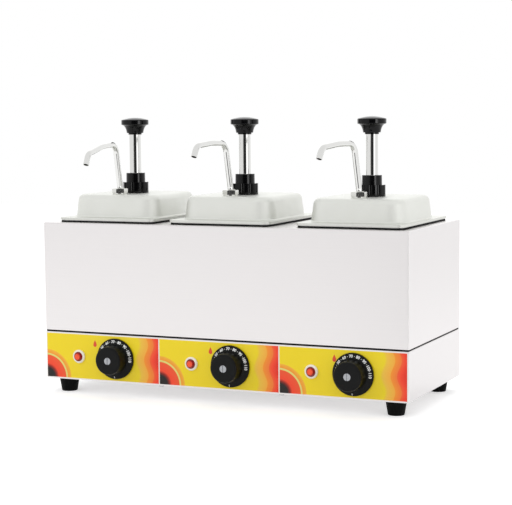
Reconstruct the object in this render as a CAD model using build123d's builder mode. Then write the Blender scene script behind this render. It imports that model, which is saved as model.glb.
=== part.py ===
"""Three-well hot fudge topping warmer: cabinet, inset pans, lids with pumps, thermostats and lamps.

Millimetres. +Z up, the front faces -Y, +X to the viewer's right. The origin is on the floor,
under the middle of the bounding box.
"""

import os
from math import cos, isclose, radians, sin, sqrt, tan

from build123d import *

# ---------------------------------------------------------------- driving dimensions

# Cabinet
cabinet_width = 590
cabinet_depth = 247
base_height = 73
seam_gap = 2.5  # shadow gap between the base and the upper casing
upper_height = 166
sheet = 1.2  # casing steel
bend_radius = 2  # outside radius of the casing's upright bends
edge_radius = 1.5  # outside radius round the deck and the base's top
casing_flange = 14  # inward flange at the foot of each casing
shelf_inset = 3.5  # how far the shelf between base and upper casing stands back
plate_inset = 0.6  # bottom plate inside the casing's outline

# Feet
foot_height = 21.8
foot_top_diameter = 31.5
foot_bottom_diameter = 24
foot_inset_x = 27
foot_inset_y = 24
foot_recess_diameter = 11.5
foot_recess_depth = 8
foot_screw_head_diameter = 8
foot_screw_head_height = 3
foot_screw_length = 18

# Wells and pans
unit_count = 3
cutout_side_margin = 7.5  # the lid reaches this far past its cut-out at each side
cutout_end_margin = 8.5  # and at the front and the back
cutout_radius = 19
well_sheet = 1
well_room = 13.8  # under the wells, for the heaters
well_flange = 11
well_bottom_radius = 12
pan_sheet = 1.2
pan_floor_gap = 12.2  # between the pan's floor and the well's
pan_gap = 4  # between the pan and the well wall
pan_bottom_radius = 12
rim_height = 5.6  # top of the pan's rim above the deck
rim_gap = 1  # between the pan's rim and the lid's lip
rim_radius = 9

# Heaters, insulation and sensors
heater_side_margin = 17  # from the well's sides
heater_front_margin = 51  # leaves room for the bulb
heater_back_margin = 27
heater_thickness = 4
heater_corner = 4
heater_post_diameter = 5
heater_post_height = 7
heater_post_spacing = 40
insulation_gap = 1.5  # round the wells
casing_gap = 0.8  # between the insulation and the casing
bulb_diameter = 6
bulb_left_margin = 13  # from the well's left side
bulb_from_well_front = 22
capillary_diameter = 2
capillary_bend = 6
capillary_lead = 0.1  # straight tube between the longest bulb's end and the first bend
capillary_from_dial = 14  # sideways and up from the dial's axis
wire_hole_diameter = 16

# Lids
lid_side_margin = 17  # from the cabinet's side
lid_end_margin = 17  # from its front and its back
lid_spacing = 30.5  # between neighbouring lids, before the shifts
well_shifts = (-1, -7, 3)  # each well and lid to the right of its even place
lid_corner = 10
lid_sheet = 1.2
lip_height = 3.4
flange_side_width = 8  # from the lid's edge to the dome
flange_front_width = 22.5
flange_back_width = 32.5
dome_corner = 28
dome_height = 34.2
dome_taper = 8
dome_edge_radius = 9
dome_foot_radius = 2.5

# Pump
pump_forward = 5.5  # pump axis in front of the lid's middle
pump_turn = 5  # degrees, the discharge port is turned this far to the left
cylinder_diameter = 26
cylinder_wall = 1.7
pump_floor_gap = 13.8  # between the pump's foot and the pan's floor
cylinder_flange_diameter = 40
cylinder_flange_height = 2
collar_diameter = 40
collar_height = 17
collar_base_height = 3
collar_flutes = 10
flute_diameter = 8
flute_depth = 2
bush_diameter = 30
bush_top_diameter = 29.6
bush_height = 14.5
bush_spigot_length = 11
bush_edge_radius = 1
plunger_diameter = 19
plunger_wall = 1.5
plunger_stroke = 56
pressed_gap = 4  # knob above the guide bush when it is pressed right down
piston_height = 14
piston_grooves = 2
piston_groove_size = 2
piston_spigot = 9
spring_wire = 1.8
spring_turns = 11
spring_side_gap = 0.4
valve_block_diameter = 34
valve_block_height = 28
valve_block_chamfer = 3
valve_seat_depth = 8  # the cylinder's end in the valve block
inlet_diameter = 9
chamber_floor = 5
pipe_boss_diameter = 14
passage_drop = 9  # the side boss starts this far below the block's middle
passage_diameter = 6
running_gap = 0.06  # radial, for parts that turn or slide
thread_gap = 0.1  # radial, for screwed and pushed-in parts

# Pump knob
knob_diameter = 43
knob_height = 26.5
knob_rim_height = 7.8
knob_crown = 3.7
knob_edge_radius = 1.5
knob_neck_diameter = 26
knob_ring_diameter = 21
knob_ring_height = 2.5
knob_socket = 10
knob_step = 2  # the flare meets the rim this far in from its edge
knob_flare = [(0.15, 1), (1, 0.5)]  # directions of the flare at the neck and at the rim

# Discharge pipe, nut and spout
port_distance = 45  # from the pump axis to the spout's axis
tube_diameter = 9
tube_wall = 1
pipe_proud = 3  # discharge pipe above the lid
ferrule_diameter = 13
ferrule_height = 3
ferrule_gap = 0.3
nut_across_flats = 21
nut_height = 10
nut_washer_diameter = 22.5
nut_washer_height = 2
nut_chamfer = 2.2
spout_straight = 13  # upright length above the lid
spout_lean = 11.5  # degrees from upright
spout_rise = 81  # corner of the bend above the lid
spout_reaches = (100, 90, 95)  # end of each arm from its spout's axis
spout_falls = (8, 2, 2.5)  # degrees, each arm slopes down
outlet_angle = 61.5  # degrees below level
outlet_length = 20
spout_bends = (25, 16, 13)  # centreline radii, foot to outlet
spout_turns = (-2, 7.5, 12.5)  # degrees to the left at rest

# Controls
control_closeness = 3.5  # the dials stand this much nearer together than the wells
dial_offset = 20.6  # dial of the middle unit from the cabinet's middle
lamp_offset = -43.5
label_thickness = 0.3
label_side_margin = 2
label_top_margin = 2.5
label_bottom_margin = 2.4
label_joint = 0.4
label_slot_margin = 1  # round the thermostat's bush and screws
dial_diameter = 62
dial_stand_off = 1.2  # behind the skirt
dial_skirt_edge = 2
dial_skirt_height = 6
dial_cap_diameter = 45
dial_face_diameter = 42
dial_reach = 27
dial_edge_radius = 3
dial_bore_depth = 17.5
dial_screw_room = 1.0
dial_hub_diameter = 16
dial_wall = 2.5
dial_screw_head_diameter = 10.6
dial_screw_head_height = 2
dial_screw_diameter = 4
dial_screw_length = 5
screw_slot = 1.6
shaft_diameter = 6
shaft_gap = 1.5  # shaft's end to the bottom of its bore
shaft_flat = 1.2
shaft_flat_length = 12
thermostat_width = 44
thermostat_height = 40
thermostat_depth = 26
thermostat_corner = 4
thermostat_screw_spacing = 28
bush_hole_diameter = 10
bush_proud = 1.5  # thermostat bush in front of the panel
bezel_diameter = 20.5
bezel_height = 3.2
bezel_edge = 1.2
bezel_barrel_diameter = 12
bezel_barrel_length = 24
lens_diameter = 14.6
lens_seat = 1.6
lens_crown_diameter = 10
lens_height = 5.5
lens_edge_radius = 1.5
tab_width = 4.8
tab_length = 8
tab_thickness = 0.8

# Electrical inlet and hardware
gland_from_side = 70
gland_over_base = 23.5  # above the base's lower edge
gland_bore = 8.4
gland_thread_diameter = 16
gland_flats = 20
gland_hex_height = 6
gland_cap_diameter = 18
gland_cap_height = 14
gland_cap_radius = 3
gland_inside = 12
gland_nut_height = 5
screw_diameter = 4
screw_head_diameter = 7.5
screw_head_height = 2.6
screw_length = 8
screw_gap = 0.3
terminal_length = 62
terminal_depth = 20
terminal_height = 18
terminal_count = 6
terminal_port_height = 6
terminal_from_side = 145
terminal_from_back = 60
vent_length = 24
vent_width = 3.5
vent_row_count = 4
vent_pitch = 9
vent_column_pitch = 40

# ---------------------------------------------------------------- derived places

base_z = foot_height
seam_z = base_z + base_height
upper_z = seam_z + seam_gap
deck_z = upper_z + upper_height
wall_z = base_z + sheet  # the base casing stands on the bottom plate
lid_underside_z = deck_z + rim_height
flange_top_z = lid_underside_z + lid_sheet
lid_top_z = flange_top_z + dome_height
well_bottom_z = upper_z + well_room
pan_floor_z = well_bottom_z + well_sheet + pan_floor_gap

lid_width = (cabinet_width - 2 * lid_side_margin - (unit_count - 1) * lid_spacing) / unit_count
lid_depth = cabinet_depth - 2 * lid_end_margin
well_pitch = lid_width + lid_spacing
control_pitch = well_pitch - control_closeness
dome_width = lid_width - 2 * flange_side_width
dome_depth = lid_depth - flange_front_width - flange_back_width
cutout_width = lid_width - 2 * cutout_side_margin
cutout_depth = lid_depth - 2 * cutout_end_margin
heater_width = cutout_width - 2 * heater_side_margin
heater_depth = cutout_depth - heater_front_margin - heater_back_margin
heater_shift = (heater_front_margin - heater_back_margin) / 2  # behind the middle of the well

spout_radius = tube_diameter / 2
pump_lean_reach = port_distance * cos(radians(pump_turn))
outlet_out = outlet_length * cos(radians(outlet_angle))


def outlet_overhang(reach, turn):
    """How far the spout's rim reaches towards the front, from the spout's axis."""
    level = cos(radians(outlet_angle)) * cos(radians(turn))
    return (reach + outlet_out) * cos(radians(turn)) + spout_radius * sqrt(1 - level**2)


pump_from_front = cabinet_depth / 2 - pump_forward
spout_overhang = max(map(outlet_overhang, spout_reaches, spout_turns))
front_overhang = spout_overhang + pump_lean_reach - pump_from_front
gland_reach = gland_hex_height + gland_cap_height
front_y = front_overhang - (front_overhang + cabinet_depth + gland_reach) / 2
back_y = front_y + cabinet_depth
middle_y = front_y + cabinet_depth / 2
dome_y = middle_y + (flange_front_width - flange_back_width) / 2
pump_y = front_y + pump_from_front

units = range(1, unit_count + 1)
unit_steps = [n - (unit_count + 1) / 2 for n in units]
well_xs = [step * well_pitch + shift for step, shift in zip(unit_steps, well_shifts)]
dial_xs = [step * control_pitch + dial_offset for step in unit_steps]
capillary_offsets = [x + capillary_from_dial - well_x for x, well_x in zip(dial_xs, well_xs)]
bulb_end = min(capillary_offsets) - capillary_bend - capillary_lead  # right of the well's middle
bulb_length = cutout_width / 2 - bulb_left_margin + bulb_end
lamp_xs = [step * control_pitch + lamp_offset for step in unit_steps]
control_z = base_z + base_height / 2
gland_x = cabinet_width / 2 - gland_from_side
gland_z = base_z + gland_over_base
terminal_x = cabinet_width / 2 - terminal_from_side
foot_places = [
    (side * (cabinet_width / 2 - foot_inset_x), middle_y + end * (cabinet_depth / 2 - foot_inset_y))
    for side in (-1, 1)
    for end in (-1, 1)
]

# Sizes that fit one part to another
pan_width = cutout_width - 2 * pan_gap
pan_length = cutout_depth - 2 * pan_gap
pan_radius = cutout_radius - pan_gap / 2
rim_width = lid_width - 2 * (lid_sheet + rim_gap)
rim_depth = lid_depth - 2 * (lid_sheet + rim_gap)
well_outer_width = cutout_width + 2 * well_sheet
well_outer_depth = cutout_depth + 2 * well_sheet
cylinder_bore = cylinder_diameter - 2 * cylinder_wall
plunger_showing = plunger_stroke + pressed_gap
plunger_foot = collar_height - bush_spigot_length  # tube's lower end above the lid
plunger_top = collar_height + bush_height + plunger_showing + knob_socket
block_bottom = pan_floor_z + pan_sheet + pump_floor_gap - lid_top_z
block_top = block_bottom + valve_block_height
cylinder_length = valve_seat_depth - block_top  # below the lid
inner_tube = tube_diameter - 2 * tube_wall
bulb_z = well_bottom_z - bulb_diameter / 2 - 0.3
bulb_y = middle_y - well_outer_depth / 2 + bulb_from_well_front
label_front_y = front_y - label_thickness
label_height = base_height - label_top_margin - label_bottom_margin
label_z = base_z + label_bottom_margin + label_height / 2
label_width = (cabinet_width - 2 * label_side_margin - (unit_count - 1) * label_joint) / unit_count
terminal_y = back_y - terminal_from_back
dial_top = dial_reach - dial_stand_off  # height of the knob over its own back
shaft_tip_y = label_front_y - dial_stand_off - dial_bore_depth + shaft_gap
capillary_xs = [x + capillary_from_dial for x in dial_xs]
spout_foot = pipe_proud + ferrule_gap
chamber_z = block_bottom + chamber_floor
spring_bottom = chamber_z
spring_top = plunger_foot - piston_height
passage_axis = block_bottom + valve_block_height / 2 - passage_drop + pipe_boss_diameter / 2
plate_screw_places = [
    (x * (cabinet_width / 2 - casing_flange / 2 - sheet / 2), middle_y + y)
    for x in (-1, 1)
    for y in (-cabinet_depth / 6, cabinet_depth / 6)
] + [
    (x, middle_y + y * (cabinet_depth / 2 - casing_flange / 2 - sheet / 2))
    for x in (-cabinet_width / 6, cabinet_width / 6)
    for y in (-1, 1)
]


ON_BASE = (Align.CENTER, Align.CENTER, Align.MIN)
UNDER = (Align.CENTER, Align.CENTER, Align.MAX)
hexagon_side_count = 6


def upright(plane):
    """The plane that stands on another: its x runs outwards and its y runs along the axis."""
    return Plane(origin=plane.origin, x_dir=plane.x_dir, z_dir=-plane.y_dir)


def main_axis(plane):
    return Axis(plane.origin, plane.z_dir)


def pump_plane(well_x):
    """On the lid's top at the pump's axis, with -y towards the discharge port."""
    turn = radians(pump_turn)
    return Plane(
        origin=(well_x, pump_y, lid_top_z), x_dir=(cos(turn), -sin(turn), 0), z_dir=(0, 0, 1)
    )


def spout_plane(well_x, turn):
    """On the lid's top at the spout's axis, with +x along the arm."""
    lean, arm = radians(pump_turn), radians(turn)
    place = (well_x - port_distance * sin(lean), pump_y - port_distance * cos(lean), lid_top_z)
    return Plane(origin=place, x_dir=(-sin(arm), -cos(arm), 0), z_dir=(0, 0, 1))


def panel_plane(x, z, y=label_front_y):
    """On the front panel, with z towards the user."""
    return Plane(origin=(x, y, z), x_dir=(1, 0, 0), z_dir=(0, -1, 0))


def back_plane(x, z):
    """On the back wall, with z away from the cabinet."""
    return Plane(origin=(x, back_y, z), x_dir=(-1, 0, 0), z_dir=(0, 1, 0))


def save(piece, name):
    piece.label = name
    export_step(piece, f"parts/{name}.step")


os.makedirs("parts", exist_ok=True)

# ---------------------------------------------------------------- cabinet


def make_upper_casing():
    """Folded box with a deck on top, a flange at its foot and a cut-out for each well."""
    with BuildPart() as casing:
        with BuildSketch(Plane.XY.offset(upper_z)):
            with Locations((0, middle_y)):
                RectangleRounded(cabinet_width, cabinet_depth, bend_radius)
        extrude(amount=upper_height)
        fillet(casing.faces().sort_by(Axis.Z)[-1].edges(), radius=edge_radius)
        with BuildSketch(Plane.XY.offset(upper_z + sheet)):
            with Locations((0, middle_y)):
                RectangleRounded(
                    cabinet_width - 2 * sheet, cabinet_depth - 2 * sheet, bend_radius - sheet
                )
        extrude(amount=upper_height - 2 * sheet, mode=Mode.SUBTRACT)
        with BuildSketch(Plane.XY.offset(upper_z)):
            with Locations((0, middle_y)):
                RectangleRounded(
                    cabinet_width - 2 * casing_flange, cabinet_depth - 2 * casing_flange, bend_radius
                )
        extrude(amount=sheet, mode=Mode.SUBTRACT)
        with BuildSketch(Plane.XY.offset(deck_z)):
            with Locations(*[(x, middle_y) for x in well_xs]):
                RectangleRounded(cutout_width, cutout_depth, cutout_radius)
        extrude(amount=-2 * sheet, mode=Mode.SUBTRACT)
    return casing.part


def back_panel_sketch():
    """Outline of the base's back panel, between the side walls and the two flanges."""
    with BuildSketch(back_plane(0, (wall_z + seam_z) / 2)) as outline:
        Rectangle(cabinet_width - 2 * sheet, seam_z - wall_z - 2 * sheet)
    return outline.sketch


def make_base_casing():
    """Front and sides, with a flange inwards at the top and at the foot all round."""
    with BuildPart() as casing:
        with BuildSketch(Plane.XY.offset(wall_z)):
            with Locations((0, middle_y)):
                RectangleRounded(cabinet_width, cabinet_depth, bend_radius)
        extrude(amount=seam_z - wall_z)
        fillet(casing.faces().sort_by(Axis.Z)[-1].edges(), radius=edge_radius)
        with BuildSketch(Plane.XY.offset(wall_z + sheet)):
            with Locations((0, middle_y)):
                RectangleRounded(
                    cabinet_width - 2 * sheet, cabinet_depth - 2 * sheet, bend_radius - sheet
                )
        extrude(amount=seam_z - wall_z - 2 * sheet, mode=Mode.SUBTRACT)
        with BuildSketch(Plane.XY.offset(wall_z)):
            with Locations((0, middle_y)):
                RectangleRounded(
                    cabinet_width - 2 * casing_flange, cabinet_depth - 2 * casing_flange, bend_radius
                )
        extrude(amount=seam_z - wall_z, mode=Mode.SUBTRACT)
        # Front panel: thermostat bushes with their screws, and lamps
        for x in dial_xs:
            with Locations(panel_plane(x, control_z, front_y)):
                Hole(bush_hole_diameter / 2, depth=2 * sheet)
                with GridLocations(thermostat_screw_spacing, 0, 2, 1):
                    Hole(screw_diameter / 2 + screw_gap, depth=2 * sheet)
        for x in lamp_xs:
            with Locations(panel_plane(x, control_z, front_y)):
                Hole(bezel_barrel_diameter / 2 + thread_gap, depth=2 * sheet)
        extrude(back_panel_sketch(), amount=-sheet, mode=Mode.SUBTRACT)
        # Screws of the bottom plate
        with Locations(*[(x, y, wall_z + sheet) for x, y in plate_screw_places]):
            Hole(screw_diameter / 2 + thread_gap, depth=2 * sheet)
    return casing.part


def make_base_back():
    """Back panel of the base, welded in along its edges, with the gland's hole and vents."""
    with BuildPart() as panel:
        extrude(back_panel_sketch(), amount=-sheet)
        with Locations(back_plane(gland_x, gland_z)):
            Hole(gland_thread_diameter / 2 + thread_gap, depth=2 * sheet)
        with BuildSketch(back_plane(0, (wall_z + seam_z) / 2)):
            with GridLocations(vent_column_pitch, vent_pitch, 2 * unit_count, vent_row_count):
                SlotOverall(vent_length, vent_width)
        extrude(amount=-2 * sheet, mode=Mode.SUBTRACT)
    return panel.part


def make_base_shelf():
    """Shallow tray, upside down on the base's top flange; it stands back to leave a dark seam."""
    shelf_width = cabinet_width - 2 * shelf_inset
    shelf_depth = cabinet_depth - 2 * shelf_inset
    with BuildPart() as shelf:
        with BuildSketch(Plane.XY.offset(seam_z)):
            with Locations((0, middle_y)):
                RectangleRounded(shelf_width, shelf_depth, bend_radius)
        extrude(amount=seam_gap)
        with BuildSketch(Plane.XY.offset(seam_z)):
            with Locations((0, middle_y)):
                RectangleRounded(shelf_width - 2 * sheet, shelf_depth - 2 * sheet, bend_radius - sheet)
        extrude(amount=seam_gap - sheet, mode=Mode.SUBTRACT)
        # Openings for the capillaries and the heater leads
        with BuildSketch(Plane.XY.offset(upper_z)):
            with Locations(*[(x, bulb_y) for x in capillary_xs]):
                Circle(wire_hole_diameter / 2)
            with Locations(*[(x, middle_y + heater_shift) for x in well_xs]):
                SlotOverall(heater_post_spacing + wire_hole_diameter, wire_hole_diameter)
        extrude(amount=-2 * sheet, mode=Mode.SUBTRACT)
    return shelf.part


def make_bottom_plate():
    with BuildPart() as plate:
        with BuildSketch(Plane.XY.offset(base_z)):
            with Locations((0, middle_y)):
                RectangleRounded(
                    cabinet_width - 2 * plate_inset, cabinet_depth - 2 * plate_inset, bend_radius
                )
        extrude(amount=sheet)
        with Locations(*[(x, y, wall_z) for x, y in plate_screw_places]):
            Hole(screw_diameter / 2 + screw_gap)
        with Locations(*[(x, y, wall_z) for x, y in foot_places]):
            Hole(screw_diameter / 2 + thread_gap)
        with BuildSketch(Plane.XY.offset(wall_z)):
            with Locations((0, middle_y)):
                with GridLocations(vent_column_pitch, vent_pitch, 2 * unit_count, vent_row_count):
                    SlotOverall(vent_length, vent_width)
        extrude(amount=-2 * sheet, mode=Mode.SUBTRACT)
    return plate.part


def make_control_labels():
    """Printed films on the front, open round each lamp's barrel and each thermostat bush."""
    with BuildPart() as labels:
        with BuildSketch(panel_plane(0, label_z, front_y)):
            with GridLocations(label_width + label_joint, 0, unit_count, 1):
                Rectangle(label_width, label_height)
            with Locations(*[(x, control_z - label_z) for x in lamp_xs]):
                Circle(bezel_barrel_diameter / 2 + screw_gap, mode=Mode.SUBTRACT)
            with Locations(*[(x, control_z - label_z) for x in dial_xs]):
                SlotOverall(
                    thermostat_screw_spacing + bush_hole_diameter + 2 * label_slot_margin,
                    bush_hole_diameter + 2 * label_slot_margin,
                    mode=Mode.SUBTRACT,
                )
        extrude(amount=label_thickness)
    return labels.part


def make_feet():
    """Tapered rubber feet, each with a recess below for its screw."""
    with BuildPart() as feet:
        with Locations(*[(x, y, 0) for x, y in foot_places]):
            Cone(foot_bottom_diameter / 2, foot_top_diameter / 2, foot_height, align=ON_BASE)
        fillet(feet.edges().group_by(Axis.Z)[0], radius=1)
        with Locations(*[(x, y, 0) for x, y in foot_places]):
            Cylinder(foot_recess_diameter / 2, foot_recess_depth, align=ON_BASE, mode=Mode.SUBTRACT)
            Cylinder(
                screw_diameter / 2 + screw_gap, foot_height, align=ON_BASE, mode=Mode.SUBTRACT
            )
    return feet.part


def make_machine_screws():
    """Screws of the feet, from their recesses upwards, of the bottom plate and of the thermostats."""
    with BuildPart() as screws:
        with Locations(*[(x, y, foot_recess_depth) for x, y in foot_places]):
            Cylinder(foot_screw_head_diameter / 2, foot_screw_head_height, align=UNDER)
            Cylinder(screw_diameter / 2, foot_screw_length, align=ON_BASE)
        with Locations(*[Plane((x, y, base_z), z_dir=(0, 0, -1)) for x, y in plate_screw_places]):
            Cylinder(screw_head_diameter / 2, screw_head_height, align=ON_BASE)
            Cylinder(screw_diameter / 2, screw_length, align=UNDER)
        for x in dial_xs:
            with Locations(panel_plane(x, control_z, front_y)):
                with GridLocations(thermostat_screw_spacing, 0, 2, 1):
                    Cylinder(screw_head_diameter / 2, dial_screw_room, align=ON_BASE)
                    Cylinder(screw_diameter / 2, screw_length, align=UNDER)
    return screws.part


# ---------------------------------------------------------------- wells, pans and heating


def make_well(x):
    """Open tub whose flange is welded under the deck."""
    with BuildPart() as well:
        with BuildSketch(Plane.XY.offset(well_bottom_z)):
            with Locations((x, middle_y)):
                RectangleRounded(well_outer_width, well_outer_depth, cutout_radius + well_sheet)
        extrude(amount=deck_z - sheet - well_bottom_z)
        fillet(well.faces().sort_by(Axis.Z)[0].edges(), radius=well_bottom_radius)
        offset(amount=-well_sheet, openings=well.faces().sort_by(Axis.Z)[-1])
        with BuildSketch(Plane.XY.offset(deck_z - sheet)):
            with Locations((x, middle_y)):
                RectangleRounded(
                    cutout_width + 2 * well_flange,
                    cutout_depth + 2 * well_flange,
                    cutout_radius + well_flange,
                )
                RectangleRounded(cutout_width, cutout_depth, cutout_radius, mode=Mode.SUBTRACT)
        extrude(amount=-well_sheet)
    return well.part


def make_pan(x):
    """Inset pan that hangs in its well from a turned-down rim."""
    with BuildPart() as pan:
        with BuildSketch(Plane.XY.offset(pan_floor_z)):
            with Locations((x, middle_y)):
                RectangleRounded(pan_width, pan_length, pan_radius)
        extrude(amount=lid_underside_z - pan_floor_z)
        fillet(pan.faces().sort_by(Axis.Z)[0].edges(), radius=pan_bottom_radius)
        offset(amount=-pan_sheet, openings=pan.faces().sort_by(Axis.Z)[-1])
        with BuildSketch(Plane.XY.offset(lid_underside_z)):
            with Locations((x, middle_y)):
                RectangleRounded(rim_width, rim_depth, rim_radius)
                RectangleRounded(
                    pan_width - pan_sheet, pan_length - pan_sheet, pan_radius, mode=Mode.SUBTRACT
                )
        extrude(amount=-pan_sheet)
        with BuildSketch(Plane.XY.offset(deck_z)):
            with Locations((x, middle_y)):
                RectangleRounded(rim_width, rim_depth, rim_radius)
                RectangleRounded(
                    rim_width - 2 * pan_sheet,
                    rim_depth - 2 * pan_sheet,
                    rim_radius - pan_sheet,
                    mode=Mode.SUBTRACT,
                )
        extrude(amount=rim_height)
    return pan.part


def make_well_heaters():
    """Plate heaters against the wells' floors, each with two terminal posts."""
    with BuildPart() as heaters:
        for x in well_xs:
            with BuildSketch(Plane.XY.offset(well_bottom_z)):
                with Locations((x, middle_y + heater_shift)):
                    RectangleRounded(heater_width, heater_depth, heater_corner)
            extrude(amount=-heater_thickness)
            with Locations((x, middle_y + heater_shift, well_bottom_z - heater_thickness)):
                with GridLocations(heater_post_spacing, 0, 2, 1):
                    Cylinder(heater_post_diameter / 2, heater_post_height, align=UNDER)
    return heaters.part


def make_insulation():
    """Wool block between the wells and the casing, open round each well."""
    with BuildPart() as wool:
        with BuildSketch(Plane.XY.offset(upper_z + sheet)):
            with Locations((0, middle_y)):
                RectangleRounded(
                    cabinet_width - 2 * (sheet + casing_gap),
                    cabinet_depth - 2 * (sheet + casing_gap),
                    bend_radius,
                )
            with Locations(*[(x, middle_y) for x in well_xs]):
                RectangleRounded(
                    well_outer_width + 2 * insulation_gap,
                    well_outer_depth + 2 * insulation_gap,
                    cutout_radius + well_sheet + insulation_gap,
                    mode=Mode.SUBTRACT,
                )
        extrude(amount=deck_z - 2 * sheet - well_sheet - upper_z - casing_gap)
    return wool.part


# ---------------------------------------------------------------- controls


def capillary_route(well_x, dial_x):
    """From the bulb's end, down through the base's top, to the thermostat's back."""
    drop_x = dial_x + capillary_from_dial
    return [
        (well_x + bulb_end, bulb_y, bulb_z),
        (drop_x, bulb_y, bulb_z),
        (drop_x, bulb_y, control_z + capillary_from_dial),
        (drop_x, front_y + sheet + thermostat_depth, control_z + capillary_from_dial),
    ]


def make_thermostats():
    """Capillary thermostats: a case with a flatted shaft, and a bulb under each well."""
    with BuildPart() as thermostats:
        for well_x, dial_x in zip(well_xs, dial_xs):
            inside = panel_plane(dial_x, control_z, front_y + sheet)
            shaft_tip = panel_plane(dial_x, control_z, shaft_tip_y)
            with BuildSketch(inside):
                RectangleRounded(thermostat_width, thermostat_height, thermostat_corner)
            extrude(amount=-thermostat_depth)
            with Locations(inside):
                Cylinder(bush_hole_diameter / 2 - thread_gap, sheet + bush_proud, align=ON_BASE)
                Cylinder(shaft_diameter / 2, front_y + sheet - shaft_tip_y, align=ON_BASE)
            with BuildSketch(shaft_tip):
                with Locations((0, shaft_diameter / 2)):
                    Rectangle(shaft_diameter, 2 * shaft_flat)
            extrude(amount=-shaft_flat_length, mode=Mode.SUBTRACT)
            route = capillary_route(well_x, dial_x)
            with BuildLine() as path:
                FilletPolyline(*route, radius=capillary_bend)
            with BuildSketch(Plane(origin=route[0], z_dir=(1, 0, 0))):
                Circle(capillary_diameter / 2)
            sweep(path=path.wire())
            with Locations(Plane(origin=(well_x + bulb_end, bulb_y, bulb_z), z_dir=(-1, 0, 0))):
                Cylinder(bulb_diameter / 2, bulb_length, align=ON_BASE)
        # Tapped holes for the screws
        for x in dial_xs:
            with Locations(panel_plane(x, control_z, front_y + sheet)):
                with GridLocations(thermostat_screw_spacing, 0, 2, 1):
                    Hole(screw_diameter / 2 + thread_gap, depth=screw_length)
    return thermostats.part


def make_dial_knob(x):
    """Round cap on a wide bevelled skirt that carries the numbers."""
    back = panel_plane(x, control_z, label_front_y - dial_stand_off)
    with BuildPart() as knob:
        with BuildSketch(upright(back)):
            with BuildLine():
                Polyline(
                    (0, 0),
                    (dial_diameter / 2, 0),
                    (dial_diameter / 2, dial_skirt_edge),
                    (dial_cap_diameter / 2, dial_skirt_height),
                    (dial_face_diameter / 2, dial_top),
                    (0, dial_top),
                    close=True,
                )
            make_face()
        revolve(axis=main_axis(back))
        fillet(knob.edges().sort_by(Axis.Y)[0], radius=dial_edge_radius)
        # Hollow behind, with a hub for the shaft
        with BuildSketch(back):
            Circle(dial_cap_diameter / 2 - dial_wall)
            Circle(dial_hub_diameter / 2, mode=Mode.SUBTRACT)
        extrude(amount=dial_top - 2 * dial_wall, mode=Mode.SUBTRACT)
        with BuildSketch(back):
            Circle(shaft_diameter / 2 + running_gap)
        extrude(amount=dial_bore_depth, mode=Mode.SUBTRACT)
        with Locations(back.offset(dial_top)):
            CounterBoreHole(
                dial_screw_diameter / 2 + thread_gap,
                dial_screw_head_diameter / 2 + thread_gap,
                dial_screw_head_height,
                depth=dial_top,
            )
    return knob.part


def make_dial_screw(x):
    """Slotted screw in the middle of the dial."""
    seat = panel_plane(x, control_z, label_front_y - dial_stand_off - dial_top + dial_screw_head_height)
    with BuildPart() as screw:
        with Locations(seat):
            Cylinder(dial_screw_head_diameter / 2, dial_screw_head_height, align=ON_BASE)
            Cylinder(dial_screw_diameter / 2, dial_screw_length, align=UNDER)
        with BuildSketch(seat.offset(dial_screw_head_height)):
            Rectangle(screw_slot, dial_screw_head_diameter)
        extrude(amount=-dial_screw_head_height / 2, mode=Mode.SUBTRACT)
    return screw.part


def make_lamp_bezels():
    """Lamp bodies: a rounded bezel, a barrel through the panel and two tabs behind."""
    with BuildPart() as bezels:
        for x in lamp_xs:
            seat = panel_plane(x, control_z)
            with BuildSketch(upright(seat)):
                with BuildLine():
                    Polyline(
                        (0, -bezel_barrel_length),
                        (bezel_barrel_diameter / 2, -bezel_barrel_length),
                        (bezel_barrel_diameter / 2, 0),
                        (bezel_diameter / 2, 0),
                        (bezel_diameter / 2, bezel_height - bezel_edge),
                        (bezel_diameter / 2 - bezel_edge, bezel_height),
                        (lens_diameter / 2 + thread_gap, bezel_height),
                        (lens_diameter / 2 + thread_gap, bezel_height - lens_seat),
                        (0, bezel_height - lens_seat),
                        close=True,
                    )
                make_face()
            revolve(axis=main_axis(seat))
            with BuildSketch(seat.offset(-bezel_barrel_length)):
                with GridLocations(0, bezel_barrel_diameter / 2, 1, 2):
                    Rectangle(tab_width, tab_thickness)
            extrude(amount=-tab_length)
    return bezels.part


def make_lamp_lenses():
    """Domed lenses, each with a raised crown."""
    with BuildPart() as lenses:
        for x in lamp_xs:
            seat = panel_plane(x, control_z, label_front_y - bezel_height + lens_seat)
            with Locations(seat):
                Cylinder(lens_diameter / 2, lens_seat, align=ON_BASE)
                Cylinder(lens_crown_diameter / 2, lens_height, align=ON_BASE)
            fillet(lenses.edges().sort_by(Axis.Y)[0], radius=lens_edge_radius)
    return lenses.part


# ---------------------------------------------------------------- electrical inlet


def make_cable_gland():
    """Hexagonal body, domed cap and lock nut round one bore through the back wall."""
    outside = back_plane(gland_x, gland_z)
    with BuildPart() as gland:
        with BuildSketch(outside):
            RegularPolygon(gland_flats / 2, hexagon_side_count, major_radius=False)
        extrude(amount=gland_hex_height)
        with Locations(outside.offset(gland_hex_height)):
            Cylinder(gland_cap_diameter / 2, gland_cap_height, align=ON_BASE)
        fillet(gland.edges().sort_by(Axis.Y)[-1], radius=gland_cap_radius)
        with Locations(outside):
            Cylinder(gland_thread_diameter / 2, gland_inside, align=UNDER)
        with BuildSketch(outside.offset(-sheet)):
            RegularPolygon(gland_flats / 2, hexagon_side_count, major_radius=False)
        extrude(amount=-gland_nut_height)
        with Locations(outside.offset(gland_reach)):
            Hole(gland_bore / 2)
    return gland.part


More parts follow.
